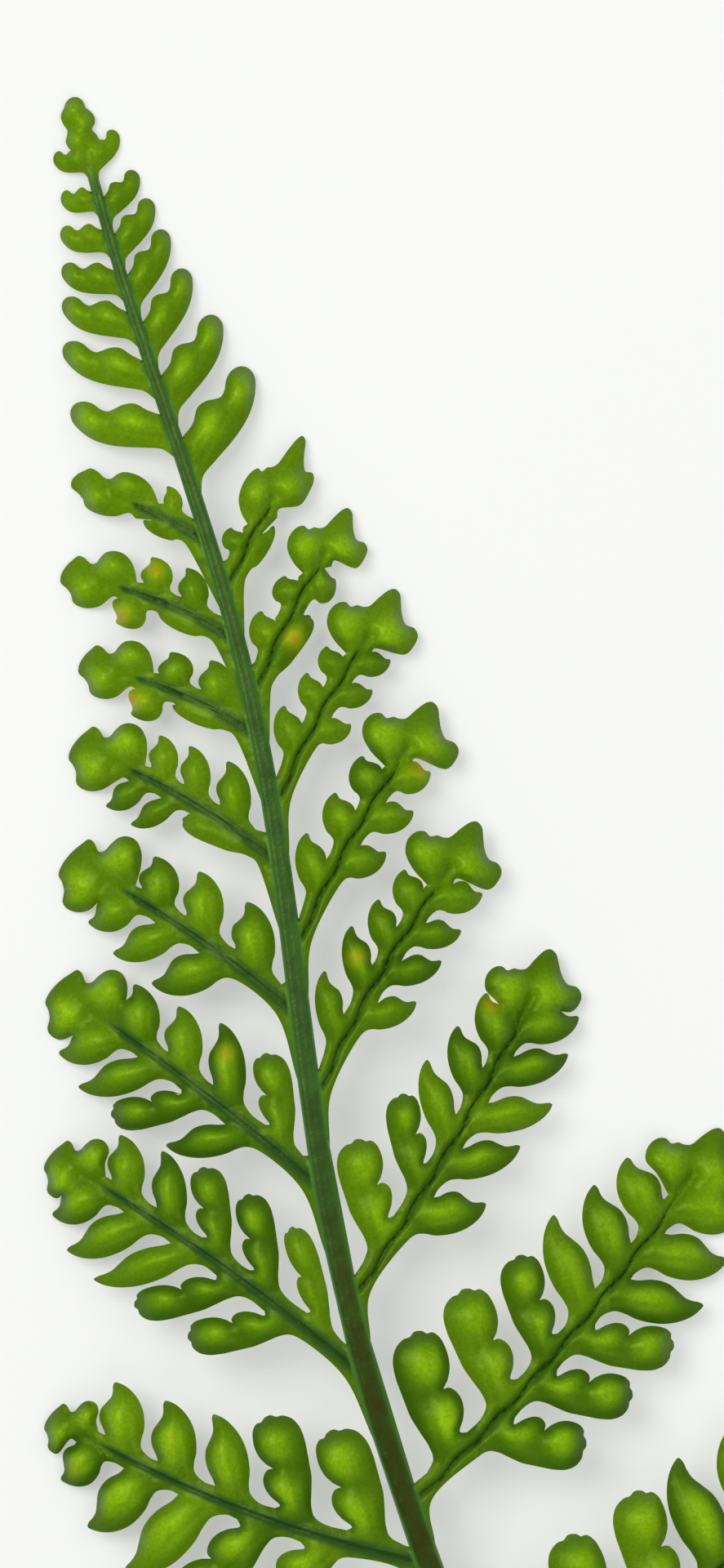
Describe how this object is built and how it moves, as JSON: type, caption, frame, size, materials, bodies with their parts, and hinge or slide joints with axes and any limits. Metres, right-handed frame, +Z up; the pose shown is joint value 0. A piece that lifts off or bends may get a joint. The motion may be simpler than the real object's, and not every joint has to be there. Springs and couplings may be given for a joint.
{
  "type": "fern frond",
  "caption": "Bear's foot fern frond laid face up: a slightly arched, tapering blade, finely cut into small domed leathery lobes, on a slender bare stalk.",
  "frame": {"origin": "middle of the frond's box, on the surface that it rests on", "axes": "+Y along the frond to its tip, +Z up out of its upper face, +X to the right as seen from above with the tip away"},
  "size_m": [0.0784, 0.1994, 0.008],
  "materials": {
    "leaf": "leathery living leaf, satin to slightly glossy above, paler and matt below",
    "stalk": "smooth green to dark brown leaf stalk, satin",
    "spore_cases": "matt brown spore clusters under thin pale flaps"
  },
  "bodies": {
    "root": {"frond": "leaf"}
  },
  "joints": []
}
